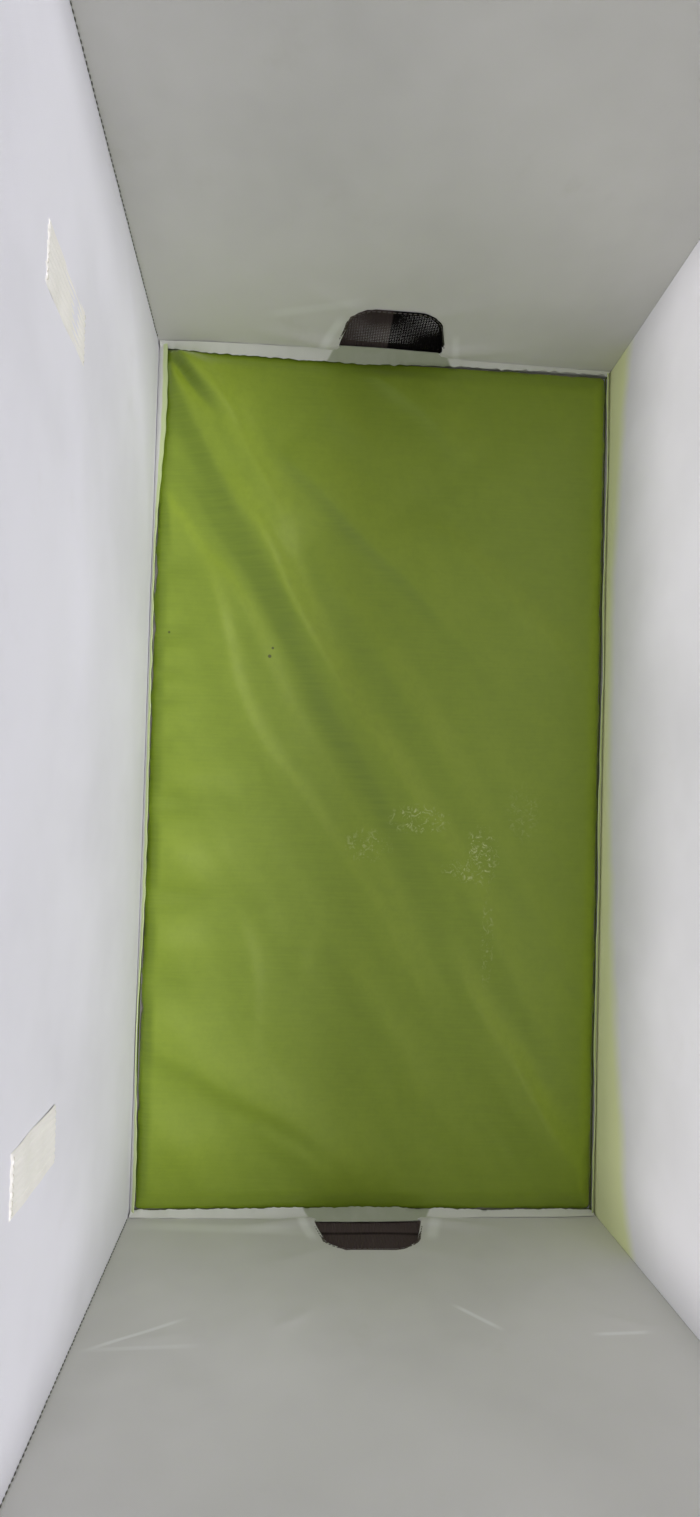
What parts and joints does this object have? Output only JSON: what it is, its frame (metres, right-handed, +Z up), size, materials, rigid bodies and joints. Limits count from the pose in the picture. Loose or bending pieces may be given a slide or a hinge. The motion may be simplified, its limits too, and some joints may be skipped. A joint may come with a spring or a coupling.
{
  "type": "toy chest",
  "caption": "Open cloth toy chest with board-stiffened walls, D-shaped net vents low in both ends, a loose base panel and a cloth-hinged flap lid hanging behind.",
  "frame": {"origin": "centre of the chest's underside, on the ground", "axes": "+X along the chest, +Y to the back where the lid hangs, +Z up"},
  "size_m": [0.6226, 0.3818, 0.4051],
  "materials": {
    "lime_cloth": "matte",
    "base_cloth": "satin",
    "white_lining": "matte",
    "hem_cloth": "matte",
    "lime_tape": "matte",
    "cream_tape": "matte",
    "greyboard": "matte",
    "dark_net": "matte"
  },
  "bodies": {
    "chest": {"bottom_cloth": "lime_cloth", "front_board": "greyboard", "back_board": "greyboard", "left_end_board": "greyboard", "right_end_board": "greyboard", "front_cover": "lime_cloth", "back_cover": "lime_cloth", "left_end_cover": "lime_cloth", "right_end_cover": "lime_cloth", "front_lining": "white_lining", "back_lining": "white_lining", "left_end_lining": "white_lining", "right_end_lining": "white_lining", "front_left_piping": "lime_tape", "front_right_piping": "lime_tape", "back_left_piping": "lime_tape", "back_right_piping": "lime_tape", "rim_binding": "lime_tape", "left_vent_facing": "white_lining", "right_vent_facing": "white_lining", "left_vent_net": "dark_net", "right_vent_net": "dark_net", "front_hem": "hem_cloth", "back_hem": "hem_cloth", "left_hem": "hem_cloth", "right_hem": "hem_cloth", "left_patch": "cream_tape", "right_patch": "cream_tape", "hinge_tape": "lime_tape"},
    "base_panel": {"base_board": "greyboard", "base_cover": "base_cloth", "base_backing": "white_lining"},
    "lid": {"lid_board": "greyboard", "lid_cover": "lime_cloth", "lid_lining": "white_lining", "lid_front_skirt": "lime_cloth", "lid_left_skirt": "lime_cloth", "lid_right_skirt": "lime_cloth", "lid_piping": "lime_tape"}
  },
  "joints": [
    {"name": "lid_hinge", "type": "hinge", "parent": "chest", "child": "lid", "pos_m": [0, 0.1687, 0.4051], "axis": [1, 0, 0], "range_deg": [0, 270]},
    {"name": "base_lift", "type": "slide", "parent": "chest", "child": "base_panel", "axis": [0, 0, 1], "range_m": [0, 0.38]}
  ]
}
